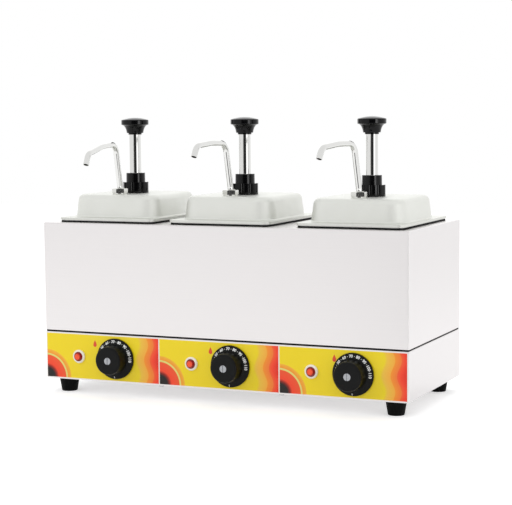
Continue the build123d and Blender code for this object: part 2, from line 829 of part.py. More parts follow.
def make_terminal_block():
    """Strip of screw terminals on the bottom plate."""
    with BuildPart() as block:
        with BuildSketch(Plane.XY.offset(wall_z)):
            with Locations((terminal_x, terminal_y)):
                Rectangle(terminal_length, terminal_depth)
        extrude(amount=terminal_height)
        with Locations((terminal_x, terminal_y, wall_z + terminal_height)):
            with GridLocations(terminal_length / terminal_count, 0, terminal_count, 1):
                Hole(screw_diameter / 2, depth=terminal_height / 2)
        ports = Plane((terminal_x, terminal_y, wall_z + terminal_port_height), z_dir=(0, 1, 0))
        with BuildSketch(ports):
            with GridLocations(terminal_length / terminal_count, 0, terminal_count, 1):
                Circle(screw_diameter / 2)
        extrude(amount=terminal_depth, both=True, mode=Mode.SUBTRACT)
    return block.part


# ---------------------------------------------------------------- lids and pumps


def make_lid(x):
    """Pressed lid: a rectangular dome, a flange and a turned-down lip."""
    pump = pump_plane(x)
    port = spout_plane(x, 0)
    with BuildPart() as lid:
        with BuildSketch(Plane.XY.offset(flange_top_z)):
            with Locations((x, middle_y)):
                RectangleRounded(lid_width, lid_depth, lid_corner)
        extrude(amount=-lip_height)
        with BuildSketch(Plane.XY.offset(flange_top_z)):
            with Locations((x, dome_y)):
                RectangleRounded(dome_width, dome_depth, dome_corner)
        extrude(amount=dome_height, taper=dome_taper)
        fillet(lid.faces().sort_by(Axis.Z)[-1].edges(), radius=dome_edge_radius)
        flange = lid.faces().filter_by(Axis.Z).sort_by(Axis.Z)[-2]
        fillet(flange.inner_wires()[0].edges(), radius=dome_foot_radius)
        offset(amount=-lid_sheet, openings=lid.faces().sort_by(Axis.Z)[0])
        with Locations(pump):
            Hole(cylinder_diameter / 2 + screw_gap, depth=2 * lid_sheet)
        with Locations(port):
            Hole(tube_diameter / 2 + screw_gap, depth=2 * lid_sheet)
    return lid.part


def make_pump_cylinder(x):
    """Tube through the lid, with a flange that the collar draws up against it."""
    seat = pump_plane(x)
    with BuildPart() as cylinder:
        with BuildSketch(seat.offset(-cylinder_length)):
            Circle(cylinder_diameter / 2)
        extrude(amount=cylinder_length + collar_height)
        with BuildSketch(seat.offset(-lid_sheet)):
            Circle(cylinder_flange_diameter / 2)
        extrude(amount=-cylinder_flange_height)
        with BuildSketch(seat.offset(-cylinder_length)):
            Circle(cylinder_bore / 2)
        extrude(amount=cylinder_length + collar_height, mode=Mode.SUBTRACT)
    return cylinder.part


def make_lock_collar(x):
    """Fluted nut that clamps the lid against the cylinder's flange."""
    seat = pump_plane(x)
    with BuildPart() as collar:
        with BuildSketch(seat):
            Circle(collar_diameter / 2)
        extrude(amount=collar_height)
        with BuildSketch(seat.offset(collar_base_height)):
            with PolarLocations((collar_diameter + flute_diameter) / 2 - flute_depth, collar_flutes):
                Circle(flute_diameter / 2)
        extrude(amount=collar_height, mode=Mode.SUBTRACT)
        with Locations(seat.offset(collar_height)):
            Hole(cylinder_diameter / 2 + thread_gap, depth=collar_height)
    return collar.part


def make_guide_bush(x):
    """Black ring on the collar, with a spigot in the cylinder's mouth, that guides the plunger."""
    seat = pump_plane(x).offset(collar_height)
    with BuildPart() as bush:
        with BuildSketch(upright(seat)):
            with BuildLine():
                Polyline(
                    (plunger_diameter / 2 + running_gap, -bush_spigot_length),
                    (cylinder_bore / 2 - thread_gap, -bush_spigot_length),
                    (cylinder_bore / 2 - thread_gap, 0),
                    (bush_diameter / 2, 0),
                    (bush_top_diameter / 2, bush_height),
                    (plunger_diameter / 2 + running_gap, bush_height),
                    close=True,
                )
            make_face()
        revolve(axis=main_axis(seat))
        fillet(bush.edges().group_by(Axis.Z)[-1].sort_by(SortBy.LENGTH)[-1], radius=bush_edge_radius)
    return bush.part


def make_valve_block(x):
    """Foot of the pump: the inlet, a side passage and the pipe that rises through the lid."""
    seat = pump_plane(x)
    foot = seat.offset(block_bottom)
    passage_z = valve_block_height / 2 - passage_drop
    port = Plane(origin=seat.from_local_coords((0, -port_distance, 0)), x_dir=seat.x_dir, z_dir=seat.z_dir)
    with BuildPart() as block:
        with BuildSketch(foot):
            Circle(valve_block_diameter / 2)
        extrude(amount=valve_block_height)
        chamfer(block.edges().group_by(Axis.Z)[0], length=valve_block_chamfer)
        with BuildSketch(foot.offset(passage_z)):
            with Locations((0, -port_distance / 2)):
                SlotCenterToCenter(port_distance, pipe_boss_diameter, rotation=90)
        extrude(amount=pipe_boss_diameter)
        with BuildSketch(port.offset(block_bottom + passage_z)):
            Circle(spout_radius)
        extrude(amount=pipe_proud - block_bottom - passage_z)
        # Seat of the cylinder, chamber, inlet, side passage and pipe
        with Locations(foot.offset(valve_block_height)):
            Hole(cylinder_diameter / 2 + thread_gap, depth=valve_seat_depth)
            Hole(cylinder_bore / 2, depth=valve_block_height - chamber_floor)
            Hole(inlet_diameter / 2, depth=valve_block_height)
        with Locations(port.offset(pipe_proud)):
            Hole(inner_tube / 2, depth=pipe_proud - passage_axis + inner_tube / 2)
        with BuildSketch(Plane(origin=port.offset(passage_axis).origin, z_dir=seat.y_dir)):
            Circle(passage_diameter / 2)
        extrude(amount=port_distance, mode=Mode.SUBTRACT)
    return block.part


def make_pump_spring(x):
    """Coil between the valve block's chamber and the piston."""
    foot = pump_plane(x).offset(spring_bottom + spring_wire / 2).origin
    coil_radius = cylinder_bore / 2 - spring_side_gap - spring_wire / 2
    coil_height = spring_top - spring_bottom - spring_wire
    with BuildPart() as spring:
        with BuildLine() as path:
            Helix(coil_height / spring_turns, coil_height, coil_radius, center=foot)
        with BuildSketch(Plane(origin=path.line @ 0, z_dir=path.line % 0)):
            Circle(spring_wire / 2)
        sweep(path=path.wire(), is_frenet=True)
    return spring.part


def make_piston(x):
    """Grooved plug in the plunger's lower end."""
    seat = pump_plane(x).offset(plunger_foot - piston_height)
    radius = cylinder_bore / 2 - running_gap
    with BuildPart() as piston:
        with BuildSketch(seat):
            Circle(radius)
        extrude(amount=piston_height)
        with BuildSketch(seat.offset(piston_height)):
            Circle(plunger_diameter / 2 - plunger_wall - thread_gap)
        extrude(amount=piston_spigot)
        for groove in range(1, piston_grooves + 1):
            middle = piston_height * groove / (piston_grooves + 1)
            with BuildSketch(seat.offset(middle - piston_groove_size / 2)):
                Circle(radius)
                Circle(radius - piston_groove_size, mode=Mode.SUBTRACT)
            extrude(amount=piston_groove_size, mode=Mode.SUBTRACT)
    return piston.part


def make_plunger_tube(x):
    seat = pump_plane(x)
    with BuildPart() as tube:
        with BuildSketch(seat.offset(plunger_foot)):
            Circle(plunger_diameter / 2)
            Circle(plunger_diameter / 2 - plunger_wall, mode=Mode.SUBTRACT)
        extrude(amount=plunger_top - plunger_foot)
    return tube.part


def make_pump_knob(x):
    """Turned push knob: a short ring, a flared neck, a thick rim and a low crown."""
    seat = pump_plane(x).offset(plunger_top - knob_socket)
    rim = knob_diameter / 2
    neck = knob_neck_diameter / 2
    rim_foot = knob_height - knob_crown - knob_rim_height
    rim_top = knob_height - knob_crown
    crown_radius = (rim**2 + knob_crown**2) / (2 * knob_crown)
    with BuildPart() as knob:
        with BuildSketch(upright(seat)):
            with BuildLine():
                Line((0, 0), (knob_ring_diameter / 2, 0))
                Line((knob_ring_diameter / 2, 0), (knob_ring_diameter / 2, knob_ring_height))
                Line((knob_ring_diameter / 2, knob_ring_height), (neck, knob_ring_height))
                Spline(
                    (neck, knob_ring_height), (rim - knob_step, rim_foot), tangents=knob_flare
                )
                Line((rim - knob_step, rim_foot), (rim, rim_foot))
                Line((rim, rim_foot), (rim, rim_top))
                RadiusArc((rim, rim_top), (0, knob_height), -crown_radius)
                Line((0, knob_height), (0, 0))
            make_face()
        revolve(axis=main_axis(seat))
        circles = knob.edges().filter_by(GeomType.CIRCLE)
        fillet(circles.filter_by(lambda edge: isclose(edge.radius, rim)), radius=knob_edge_radius)
        with BuildSketch(seat):
            Circle(plunger_diameter / 2 + thread_gap)
        extrude(amount=knob_socket, mode=Mode.SUBTRACT)
    return knob.part


def make_spout_nut(x):
    """Hexagon nut with a washer face and a room inside for the spout's ferrule."""
    seat = spout_plane(x, 0)
    with BuildPart() as nut:
        with BuildSketch(seat):
            Circle(nut_washer_diameter / 2)
        extrude(amount=nut_washer_height)
        with BuildSketch(seat.offset(nut_washer_height)):
            RegularPolygon(nut_across_flats / 2, hexagon_side_count, major_radius=False)
        extrude(amount=nut_height - nut_washer_height)
        with BuildSketch(upright(seat)):
            with BuildLine():
                Polyline(
                    (nut_across_flats / 2 - nut_chamfer, nut_height),
                    (nut_across_flats / 2 + nut_chamfer, nut_height),
                    (nut_across_flats / 2 + nut_chamfer, nut_height - nut_chamfer),
                    close=True,
                )
            make_face()
        revolve(axis=main_axis(seat), mode=Mode.SUBTRACT)
        with Locations(seat.offset(nut_height)):
            Hole(spout_radius + running_gap, depth=nut_height)
        with BuildSketch(seat.offset(pipe_proud)):
            Circle(ferrule_diameter / 2 + ferrule_gap)
        extrude(amount=ferrule_height + 2 * ferrule_gap, mode=Mode.SUBTRACT)
    return nut.part


def spout_route(reach, fall):
    """Centreline in the plane of the arm: upright foot, leaning riser, falling arm and outlet."""
    lean = tan(radians(spout_lean))
    corner = ((spout_rise - spout_straight) * lean, spout_rise)
    arm_end_y = spout_rise - (reach - corner[0]) * tan(radians(fall))
    outlet = (reach + outlet_out, arm_end_y - outlet_length * sin(radians(outlet_angle)))
    return [(0, spout_foot), (0, spout_straight), corner, (reach, arm_end_y), outlet]


def make_spout(x, reach, fall, turn):
    """Bent tube that swivels in its nut."""
    seat = spout_plane(x, turn)
    standing = upright(seat)
    with BuildPart() as spout:
        with BuildLine(standing) as path:
            FilletPolyline(*spout_route(reach, fall), radius=spout_bends)
        with BuildSketch(seat.offset(spout_foot)) as outer:
            Circle(spout_radius)
        sweep(sections=outer.sketch, path=path.wire())
        with BuildSketch(seat.offset(spout_foot)):
            Circle(ferrule_diameter / 2)
        extrude(amount=ferrule_height)
        with BuildSketch(seat.offset(spout_foot)) as inner:
            Circle(inner_tube / 2)
        sweep(sections=inner.sketch, path=path.wire(), mode=Mode.SUBTRACT)
    return spout.part


# ---------------------------------------------------------------- build and write

save(make_upper_casing(), "upper_casing")
save(make_base_casing(), "base_casing")
save(make_base_back(), "base_back")
save(make_base_shelf(), "base_shelf")
save(make_bottom_plate(), "bottom_plate")
save(make_control_labels(), "control_labels")
save(make_feet(), "feet")
save(make_machine_screws(), "machine_screws")
save(make_well_heaters(), "well_heaters")
save(make_insulation(), "insulation")
save(make_thermostats(), "thermostats")
save(make_lamp_bezels(), "lamp_bezels")
save(make_lamp_lenses(), "lamp_lenses")
save(make_cable_gland(), "cable_gland")
save(make_terminal_block(), "terminal_block")

for n, well_x, dial_x in zip(units, well_xs, dial_xs):
    save(make_well(well_x), f"well_{n}")
    save(make_pan(well_x), f"pan_{n}")
    save(make_lid(well_x), f"lid_{n}")
    save(make_pump_cylinder(well_x), f"pump_cylinder_{n}")
    save(make_lock_collar(well_x), f"lock_collar_{n}")
    save(make_guide_bush(well_x), f"guide_bush_{n}")
    save(make_valve_block(well_x), f"valve_block_{n}")
    save(make_pump_spring(well_x), f"pump_spring_{n}")
    save(make_piston(well_x), f"piston_{n}")
    save(make_plunger_tube(well_x), f"plunger_tube_{n}")
    save(make_pump_knob(well_x), f"pump_knob_{n}")
    save(make_spout_nut(well_x), f"spout_nut_{n}")
    save(make_dial_knob(dial_x), f"dial_knob_{n}")
    save(make_dial_screw(dial_x), f"dial_screw_{n}")

for n, *arm in zip(units, well_xs, spout_reaches, spout_falls, spout_turns):
    save(make_spout(*arm), f"spout_{n}")
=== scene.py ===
from math import cos, pi, radians, sin, tan

import bmesh
import bpy
from mathutils import Matrix, Vector


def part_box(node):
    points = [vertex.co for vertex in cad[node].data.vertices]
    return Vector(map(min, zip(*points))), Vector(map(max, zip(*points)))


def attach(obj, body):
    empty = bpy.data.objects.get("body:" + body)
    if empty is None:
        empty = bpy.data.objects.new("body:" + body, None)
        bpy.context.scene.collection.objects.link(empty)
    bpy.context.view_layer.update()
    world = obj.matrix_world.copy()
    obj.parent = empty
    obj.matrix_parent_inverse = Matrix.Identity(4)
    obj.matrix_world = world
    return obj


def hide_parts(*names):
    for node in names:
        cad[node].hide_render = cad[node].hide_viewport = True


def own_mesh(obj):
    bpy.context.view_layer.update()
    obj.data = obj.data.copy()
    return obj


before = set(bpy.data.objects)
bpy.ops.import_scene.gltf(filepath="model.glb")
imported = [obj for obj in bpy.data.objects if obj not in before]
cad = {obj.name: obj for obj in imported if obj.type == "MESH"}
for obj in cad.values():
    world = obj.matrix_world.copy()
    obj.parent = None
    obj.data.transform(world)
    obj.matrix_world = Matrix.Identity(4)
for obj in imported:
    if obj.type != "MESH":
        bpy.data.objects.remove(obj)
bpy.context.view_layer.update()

mm = 0.001
units = (1, 2, 3)
print("frame loaded:", len(cad), "nodes")


def hexColour(code):  # sRGB hex to the linear colour that a shader takes
    parts = [int(code[i:i + 2], 16) / 255 for i in (0, 2, 4)]
    return [c / 12.92 if c <= 0.04045 else ((c + 0.055) / 1.055) ** 2.4 for c in parts] + [1]


def addNode(tree, kind, sockets=None, **settings):
    # sockets: input name or number with the output that feeds it, or its plain value
    node = tree.nodes.new("ShaderNode" + kind)
    for name, value in settings.items():
        setattr(node, name, value)
    for socket, value in (sockets or {}).items():
        if isinstance(value, bpy.types.NodeSocket):
            tree.links.new(value, node.inputs[socket])
        else:
            node.inputs[socket].default_value = value
    return node


def maths(tree, operation, *amounts):
    return addNode(tree, "Math", dict(enumerate(amounts)), operation=operation).outputs[0]


def mapRange(tree, value, fromLow, fromHigh, toLow=0, toHigh=1):
    return addNode(tree, "MapRange", {"Value": value, "From Min": fromLow, "From Max": fromHigh,
                                      "To Min": toLow, "To Max": toHigh}).outputs[0]


def noise(tree, place, scale, detail):
    return addNode(tree, "TexNoise", {"Vector": place, "Scale": scale, "Detail": detail}).outputs["Fac"]


def relief(tree, shader, height, strength, distance):
    bump = addNode(tree, "Bump", {"Height": height, "Strength": strength, "Distance": distance})
    tree.links.new(bump.outputs[0], shader.inputs["Normal"])


def newMaterial(name, surface):
    material = bpy.data.materials.new(name)
    material.use_nodes = True
    tree = material.node_tree
    shader = tree.nodes["Principled BSDF"]
    for socket, value in surface.items():
        shader.inputs[socket].default_value = value
    place = addNode(tree, "TexCoord").outputs["Object"]
    return material, tree, shader, place


def clothe(material, *names):  # puts a material on CAD nodes
    for name in names:
        cad[name].data.materials.clear()
        cad[name].data.materials.append(material)


def perUnit(*stems):
    return [f"{stem}_{n}" for stem in stems for n in units]


def ramp(tree, factor, stops, interpolation="LINEAR"):
    node = addNode(tree, "ValToRGB", {"Fac": factor})
    node.color_ramp.interpolation = interpolation
    while len(node.color_ramp.elements) < len(stops):
        node.color_ramp.elements.new(0.5)
    for element, (position, colour) in zip(node.color_ramp.elements, stops):
        element.position = position
        element.color = colour
    return node.outputs["Color"]


def grey(level):
    return [level, level, level, 1]


def brushedStainless(name, values):
    # 304 sheet, belt-ground: long level scratches that blur what it mirrors, faint cloudy patches
    material, tree, shader, place = newMaterial(name, {
        "Base Color": hexColour(values["colour"]), "Metallic": 1, "Roughness": values["roughness"]})
    along, across = 9, 1 / values["grain"]  # scratches per metre
    upright = addNode(tree, "Mapping", {"Vector": place, "Scale": (along, along, across)}).outputs[0]
    level = addNode(tree, "Mapping", {"Vector": place, "Scale": (along, across, along)}).outputs[0]
    normal = addNode(tree, "NewGeometry").outputs["Normal"]
    facing = maths(tree, "ABSOLUTE", addNode(tree, "SeparateXYZ", {"Vector": normal}).outputs["Z"])
    flat = maths(tree, "GREATER_THAN", facing, 0.8)
    scratch = addNode(tree, "Mix", {"Factor": flat, "A": noise(tree, upright, 1, 3),
                                    "B": noise(tree, level, 1, 3)}).outputs["Result"]
    clouds = noise(tree, place, 14, 2)
    both = addNode(tree, "Mix", {"Factor": 0.3, "A": scratch, "B": clouds}).outputs["Result"]
    rough = mapRange(tree, both, 0.3, 0.7, values["roughness"] - values["spread"],
                     values["roughness"] + values["spread"])
    tree.links.new(rough, shader.inputs["Roughness"])
    darker = [c * (1 - values["tint"]) for c in hexColour(values["colour"])[:3]] + [1]
    tone = ramp(tree, both, [(0.35, darker), (0.6, hexColour(values["colour"]))])
    tree.links.new(tone, shader.inputs["Base Color"])
    relief(tree, shader, scratch, values["bump"], 0.1 * mm)
    return material


def plainMetal(name, colour, roughness, spread=0.03, speckle=400, bump=0.0):
    # drawn, turned or rolled metal without a direction in its finish
    material, tree, shader, place = newMaterial(name, {
        "Base Color": hexColour(colour), "Metallic": 1, "Roughness": roughness})
    grain = noise(tree, place, speckle, 4)
    rough = mapRange(tree, grain, 0.35, 0.65, max(roughness - spread, 0.02), roughness + spread)
    tree.links.new(rough, shader.inputs["Roughness"])
    if bump:
        relief(tree, shader, grain, bump, 0.2 * mm)
    return material


def plastic(name, colour, roughness, grain=900, bump=0.1, spread=0.04, gloss=0.5):
    # moulded plastic or rubber: the mould's fine texture, slightly uneven gloss
    material, tree, shader, place = newMaterial(name, {
        "Base Color": hexColour(colour), "Roughness": roughness, "Specular IOR Level": gloss})
    broad = noise(tree, place, 60, 3)
    rough = mapRange(tree, broad, 0.35, 0.65, max(roughness - spread, 0.03), roughness + spread)
    tree.links.new(rough, shader.inputs["Roughness"])
    relief(tree, shader, noise(tree, place, grain, 2), bump, 0.1 * mm)
    return material


casingSteel = {"colour": "E3E0E0", "roughness": 0.34, "spread": 0.04, "grain": 0.7 * mm, "tint": 0.02,
               "bump": 0.04}
wellSteel = {"colour": "C4C4C2", "roughness": 0.36, "spread": 0.06, "grain": 0.8 * mm, "tint": 0.06,
             "bump": 0.06}

clothe(brushedStainless("brushed stainless casing", casingSteel), "upper_casing", "base_casing",
       "base_back", "base_shelf", "bottom_plate")
clothe(plainMetal("satin stainless lid", "E2E3DE", 0.5, speckle=45), *perUnit("lid"))
clothe(brushedStainless("stainless well", wellSteel), *perUnit("well", "pan"))
polished = plainMetal("polished stainless tube", "DCDCDA", 0.06, spread=0.004, speckle=20)
clothe(polished, *perUnit("pump_cylinder", "valve_block"))
clothe(plainMetal("turned stainless nut", "DADAD6", 0.13, spread=0.01, speckle=60),
       *perUnit("spout_nut"))
clothe(plainMetal("zinc-plated screw", "C9CBCC", 0.3), "machine_screws")
clothe(plainMetal("nickel-plated dial screw", "A2A4A8", 0.28), *perUnit("dial_screw"))
springSteel = plainMetal("spring steel", "A9A9A6", 0.3)
clothe(plainMetal("rolled aluminium heater", "B4B2AC", 0.5, spread=0.08, speckle=200, bump=0.2),
       "well_heaters")
clothe(plastic("polished black phenolic", "040405", 0.12, grain=700, bump=0.02, spread=0.03,
               gloss=0.22), *perUnit("pump_knob", "guide_bush", "lock_collar"))
clothe(plastic("moulded black nylon", "060707", 0.36, grain=1400, bump=0.12, gloss=0.16),
       *perUnit("dial_knob"))
clothe(plastic("black nylon gland", "101010", 0.45, gloss=0.3), "cable_gland")
clothe(plastic("black rubber foot", "030303", 0.6, grain=800, bump=0.2, spread=0.05, gloss=0.1), "feet")
clothe(plastic("white acetal piston", "E6E2D8", 0.35), *perUnit("piston"))
clothe(plastic("white melamine terminal", "E8E5DA", 0.4), "terminal_block")
clothe(plastic("cream nylon bezel", "F6EFE4", 0.22, grain=700, bump=0.03), "lamp_bezels")
clothe(plastic("mineral wool", "D9CFA8", 0.95, grain=500, bump=0.6), "insulation")
clothe(plastic("thermostat case", "26262A", 0.5), "thermostats")


def repeated(tree, place, first, pitch):
    # x and z in metres, x measured from the nearest of three repeats
    axes = addNode(tree, "SeparateXYZ", {0: place}).outputs
    wrapped = maths(tree, "WRAP", axes["X"], first + pitch / 2, first - pitch / 2)
    return maths(tree, "SUBTRACT", wrapped, first), axes["Z"]


def distanceFrom(tree, x, z, centreX, centreZ):
    dx = maths(tree, "SUBTRACT", x, centreX)
    dz = maths(tree, "SUBTRACT", z, centreZ)
    flat = addNode(tree, "CombineXYZ", {0: dx, 1: dz}).outputs[0]
    return addNode(tree, "VectorMath", {0: flat}, operation="LENGTH").outputs["Value"]


def lensPlastic():
    # moulded polycarbonate, its colour painted as if lit: a painted glow and highlight in the orange
    # middle and crown, darkening through a deep red ring to the edge
    values = {"firstX": -235.5 * mm, "pitch": 192 * mm, "span": 7.84 * mm,
              "middle": "FF5F1E", "glowCrown": "F8451C", "ring": "A0140D", "edge": "5E0A0A"}
    low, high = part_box("lamp_lenses")
    material, tree, shader, place = newMaterial("red lens with painted glow", {"Roughness": 0.12})
    x, z = repeated(tree, place, values["firstX"], values["pitch"])
    distance = distanceFrom(tree, x, z, 0, (low.z + high.z) / 2)
    share = maths(tree, "DIVIDE", distance, values["span"])
    # middle and crown are the painted glow and highlight of a lit lamp; ring and edge are darker towards
    # the rim
    middle, glowCrown, ring, edge = (hexColour(values[k]) for k in ("middle", "glowCrown", "ring", "edge"))
    colour = ramp(tree, share, [(0, middle), (0.5, glowCrown), (0.66, ring), (1, edge)])
    tree.links.new(colour, shader.inputs["Base Color"])
    return material


clothe(lensPlastic(), "lamp_lenses")


def printedFilm():
    # back-printed polycarbonate film under a clear gloss: a yellow field, sun rings low on the left
    # and heat waves that deepen to red along the right edge
    values = {"firstX": -195.47 * mm, "pitch": 195.47 * mm, "width": 195.07 * mm, "border": 0.7 * mm,
              "ringSpan": 80 * mm, "waveSpan": 60 * mm, "waveLength": 46 * mm, "waveDepth": 3.5 * mm,
              "field": "F4DA1E", "pale": "E2DC7A", "orange": "F7962C", "red": "F8482A",
              "black": "1A1512", "white": "F4EFE6"}
    material, tree, shader, place = newMaterial("printed polycarbonate film", {
        "Roughness": 0.3, "Specular IOR Level": 0.35})
    x, z = repeated(tree, place, values["firstX"], values["pitch"])
    left, foot = -values["width"] / 2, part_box("control_labels")[0].z

    def blend(share, first, second):
        return addNode(tree, "Mix", {"Factor": share, "A": first, "B": second},
                       data_type="RGBA").outputs["Result"]

    # rings: distance from the lower left corner
    radius = distanceFrom(tree, x, z, left, foot)
    share = maths(tree, "DIVIDE", radius, values["ringSpan"])
    black, red, orange = (hexColour(values[k]) for k in ("black", "red", "orange"))
    pale, field = hexColour(values["pale"]), hexColour(values["field"])
    rings = ramp(tree, share, [
        (0, black), (0.17, black), (0.21, hexColour("7C1E14")), (0.26, red),
        (0.42, hexColour("F25A30")), (0.425, pale), (0.455, pale), (0.46, orange),
        (0.53, hexColour("F6B83C")), (0.535, field), (0.62, field)])

    # waves: distance from the right edge, bent by a slow sine over the height
    height = maths(tree, "SUBTRACT", z, foot)
    phase = maths(tree, "MULTIPLY", height, 2 * pi / values["waveLength"])
    bend = maths(tree, "SINE", phase)
    bend = maths(tree, "MULTIPLY", bend, values["waveDepth"])
    inward = maths(tree, "SUBTRACT", values["width"] / 2, x)
    inward = maths(tree, "ADD", inward, bend)
    share = maths(tree, "DIVIDE", inward, values["waveSpan"])
    waves = ramp(tree, share, [
        (0, hexColour("E8301E")), (0.12, red), (0.2, hexColour("F4632E")),
        (0.205, hexColour("F67C34")), (0.36, orange), (0.365, hexColour("F8B040")),
        (0.55, hexColour("F3C446")), (0.62, field)])
    onRight = maths(tree, "GREATER_THAN", x, 0)
    art = blend(onRight, rings, waves)
    side = maths(tree, "ABSOLUTE", x)
    trim = maths(tree, "GREATER_THAN", side, values["width"] / 2 - values["border"])
    art = blend(trim, art, hexColour(values["white"]))
    tone = mapRange(tree, noise(tree, place, 900, 2), 0, 1, 0.97, 1.03)
    tree.links.new(addNode(tree, "VectorMath", {0: art, "Scale": tone}, operation="SCALE").outputs[0],
                   shader.inputs["Base Color"])
    return material


clothe(printedFilm(), "control_labels")
print("materials done")


def meshOf(curve):  # the mesh that a text or curve makes
    holder = bpy.data.objects.new("holder", curve)
    bpy.context.scene.collection.objects.link(holder)
    bpy.context.view_layer.update()
    mesh = bpy.data.meshes.new_from_object(holder.evaluated_get(bpy.context.evaluated_depsgraph_get()))
    bpy.data.objects.remove(holder)
    return mesh


def textMesh(words, size, weight):
    curve = bpy.data.curves.new("words", "FONT")
    curve.body = words
    curve.size = size
    curve.offset = weight
    curve.align_x = "CENTER"
    curve.align_y = "CENTER"
    curve.resolution_u = 4
    return meshOf(curve)


def addPiece(name, mesh, material, body):
    piece = bpy.data.objects.new(name, mesh)
    bpy.context.scene.collection.objects.link(piece)
    mesh.materials.clear()
    mesh.materials.append(material)
    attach(piece, body)
    return piece


def dialPrint(n):
    # numbers and dots on the skirt, and a mark below them
    values = {"numbers": (50, 60, 70, 80, 90, 100, 110), "firstTurn": -51, "step": 23.3,
              "letter": 5.8 * mm, "weight": 0.16 * mm, "radius": 26.6 * mm, "dot": 0.5 * mm,
              "earlyDots": (-71, -62), "skirtEdge": 31 * mm, "edgeHeight": 2 * mm, "slope": 4 / 8.5,
              "tilt": 0.44, "lift": 0.05 * mm, "barTurn": 181, "barWidth": 0.8 * mm,
              "barLength": 3.4 * mm}
    low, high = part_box(f"dial_knob_{n}")
    middle = (low + high) / 2
    marks = bmesh.new()

    def placed(mesh, turn):  # wraps a flat mark round the skirt, its top outwards
        mark = bmesh.new()
        mark.from_mesh(mesh)
        for vert in mark.verts:
            angle = radians(turn) + vert.co.x / values["radius"]
            reach = values["radius"] + vert.co.y * cos(values["tilt"])
            inward = values["skirtEdge"] - reach
            height = values["edgeHeight"] + inward * values["slope"] + values["lift"]
            vert.co = (middle.x + reach * sin(angle), high.y - height, middle.z + reach * cos(angle))
        mark.to_mesh(mesh)
        mark.free()
        marks.from_mesh(mesh)

    def shape(build):
        mesh = bpy.data.meshes.new("mark")
        mark = bmesh.new()
        build(mark)
        mark.to_mesh(mesh)
        mark.free()
        return mesh

    def dot(mark):
        bmesh.ops.create_circle(mark, cap_ends=True, segments=12, radius=values["dot"])

    def bar(mark):
        bmesh.ops.create_grid(mark, x_segments=1, y_segments=3, size=0.5)
        bmesh.ops.scale(mark, vec=(values["barWidth"], values["barLength"], 1), verts=mark.verts)
        bmesh.ops.translate(mark, vec=(0, values["barLength"] / 2, 0), verts=mark.verts)

    for i, number in enumerate(values["numbers"]):
        turn = values["firstTurn"] + i * values["step"]
        placed(textMesh(str(number), values["letter"], values["weight"]), turn)
        if i:
            placed(shape(dot), turn - values["step"] / 2)
    for turn in values["earlyDots"]:
        placed(shape(dot), turn)
    placed(shape(bar), values["barTurn"])
    mesh = bpy.data.meshes.new(f"dialPrint_{n}")
    marks.to_mesh(mesh)
    marks.free()
    addPiece(f"dialPrint_{n}", mesh, ink, f"dial_{n}")


def heatDrops():
    # the plain drop between each lamp and its dial
    values = {"firstX": -207.5 * mm, "pitch": 195.47 * mm, "rise": 53.1 * mm, "bulb": 2.9 * mm,
              "lift": 0.04 * mm, "narrowing": 0.55, "tip": 2.7}
    low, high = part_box("control_labels")
    drops = bmesh.new()
    for n in range(len(units)):
        made = bmesh.ops.create_circle(drops, cap_ends=True, segments=32,
                                       radius=values["bulb"])["verts"]
        for vert in made:
            if vert.co.y > 0:  # the upper half narrows to a long tip
                rise = vert.co.y / values["bulb"]
                vert.co.x *= (1 - rise ** 2 * values["narrowing"]) ** 2
                vert.co.y *= values["tip"]
        bmesh.ops.rotate(drops, matrix=Matrix.Rotation(pi / 2, 3, "X"), verts=made)
        bmesh.ops.translate(drops, verts=made, vec=(
            values["firstX"] + n * values["pitch"], low.y - values["lift"], low.z + values["rise"]))
    mesh = bpy.data.meshes.new("heatDrops")
    drops.to_mesh(mesh)
    drops.free()
    redInk = plastic("screen-printed red ink", "E24A1E", 0.35, grain=2000, bump=0.03)
    addPiece("heatDrops", mesh, redInk, "housing")


ink = plastic("pad-printed white ink", "EDEEEC", 0.5, grain=2500, bump=0.05)
for n in units:
    dialPrint(n)
heatDrops()
print("front printing done")


def band(name, low, high, corner, thickness, material, body):
    # a thin upright strip round a rounded rectangle, its outside on the given box
    size = high - low
    strip = bmesh.new()
    bmesh.ops.create_cube(strip, size=1)
    bmesh.ops.scale(strip, vec=size, verts=strip.verts)
    bmesh.ops.translate(strip, vec=(low + high) / 2, verts=strip.verts)
    upright = [e for e in strip.edges if abs(e.verts[0].co.z - e.verts[1].co.z) > size.z / 2]
    bmesh.ops.bevel(strip, geom=upright, offset=corner, segments=8, profile=0.5, affect="EDGES",
                    material=-1)
    ends = [f for f in strip.faces if abs(f.normal.z) > 0.9]
    bmesh.ops.delete(strip, geom=ends, context="FACES")
    bmesh.ops.solidify(strip, geom=strip.faces[:], thickness=thickness)
    bmesh.ops.recalc_face_normals(strip, faces=strip.faces[:])
    for face in strip.faces:
        face.smooth = abs(face.normal.z) < 0.5
    mesh = bpy.data.meshes.new(name)
    strip.to_mesh(mesh)
    strip.free()
    addPiece(name, mesh, material, body)


